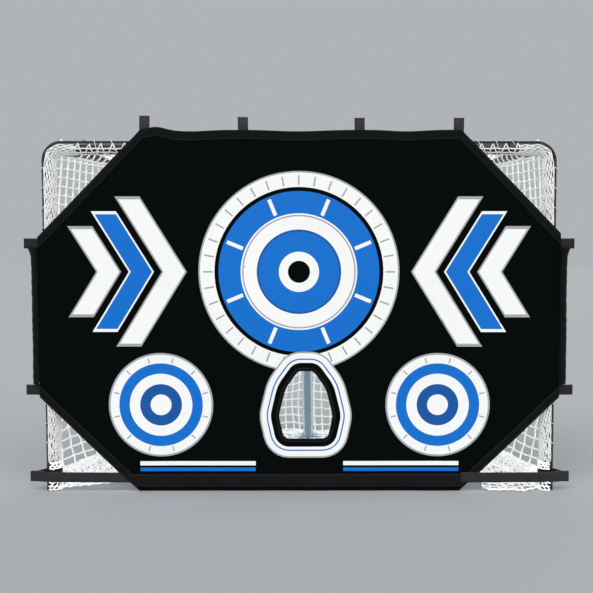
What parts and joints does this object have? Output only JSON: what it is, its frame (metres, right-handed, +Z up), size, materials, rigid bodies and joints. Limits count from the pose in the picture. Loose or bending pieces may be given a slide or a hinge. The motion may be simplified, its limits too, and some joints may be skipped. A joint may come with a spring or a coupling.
{
  "type": "hockey goal with net and shooting target",
  "caption": "Full-size steel tube hockey goal with white netting, and a black fabric shooting target with open corners and a low opening strapped across its mouth.",
  "frame": {"origin": "on the ground, under the middle of the goal's overall box", "axes": "+X along the goal mouth, to the right seen from the front; +Y towards the back of the goal; +Z up"},
  "size_m": [2.0626, 0.9594, 1.402],
  "materials": {
    "front_paint": "near-black gloss enamel with a maroon cast",
    "rear_paint": "pale blue-grey enamel",
    "cap_plastic": "black moulded plastic",
    "zinc_steel": "zinc plated",
    "netting": "white braided twine, knotted",
    "lacing_cord": "white braided cord",
    "target_fabric": "black woven fabric with a printed front",
    "hem_fabric": "charcoal woven binding",
    "webbing": "black ribbed webbing"
  },
  "bodies": {
    "root": {"left_post": "front_paint", "right_post": "front_paint", "crossbar": "front_paint", "left_post_cap": "cap_plastic", "right_post_cap": "cap_plastic", "shelf_left": "rear_paint", "shelf_right": "rear_paint", "shelf_rear": "rear_paint", "base_left": "rear_paint", "base_right": "rear_paint", "base_rear": "rear_paint", "center_post": "rear_paint", "frame_bolts": "zinc_steel", "frame_nuts": "zinc_steel", "net_top": "netting", "net_back": "netting", "net_left": "netting", "net_right": "netting", "crossbar_lacing": "lacing_cord", "left_post_lacing": "lacing_cord", "right_post_lacing": "lacing_cord", "target_panel": "target_fabric", "top_hem": "hem_fabric", "bottom_band": "webbing", "binding_top_left": "hem_fabric", "binding_top_right": "hem_fabric", "binding_bottom_left": "hem_fabric", "binding_bottom_right": "hem_fabric", "low_hole_binding": "hem_fabric", "left_flap": "target_fabric", "right_flap": "target_fabric", "top_strap_outer_left": "webbing", "top_strap_inner_left": "webbing", "top_strap_inner_right": "webbing", "top_strap_outer_right": "webbing", "left_upper_strap": "webbing", "left_lower_strap": "webbing", "right_upper_strap": "webbing", "right_lower_strap": "webbing", "left_foot_strap": "webbing", "right_foot_strap": "webbing"}
  },
  "joints": []
}
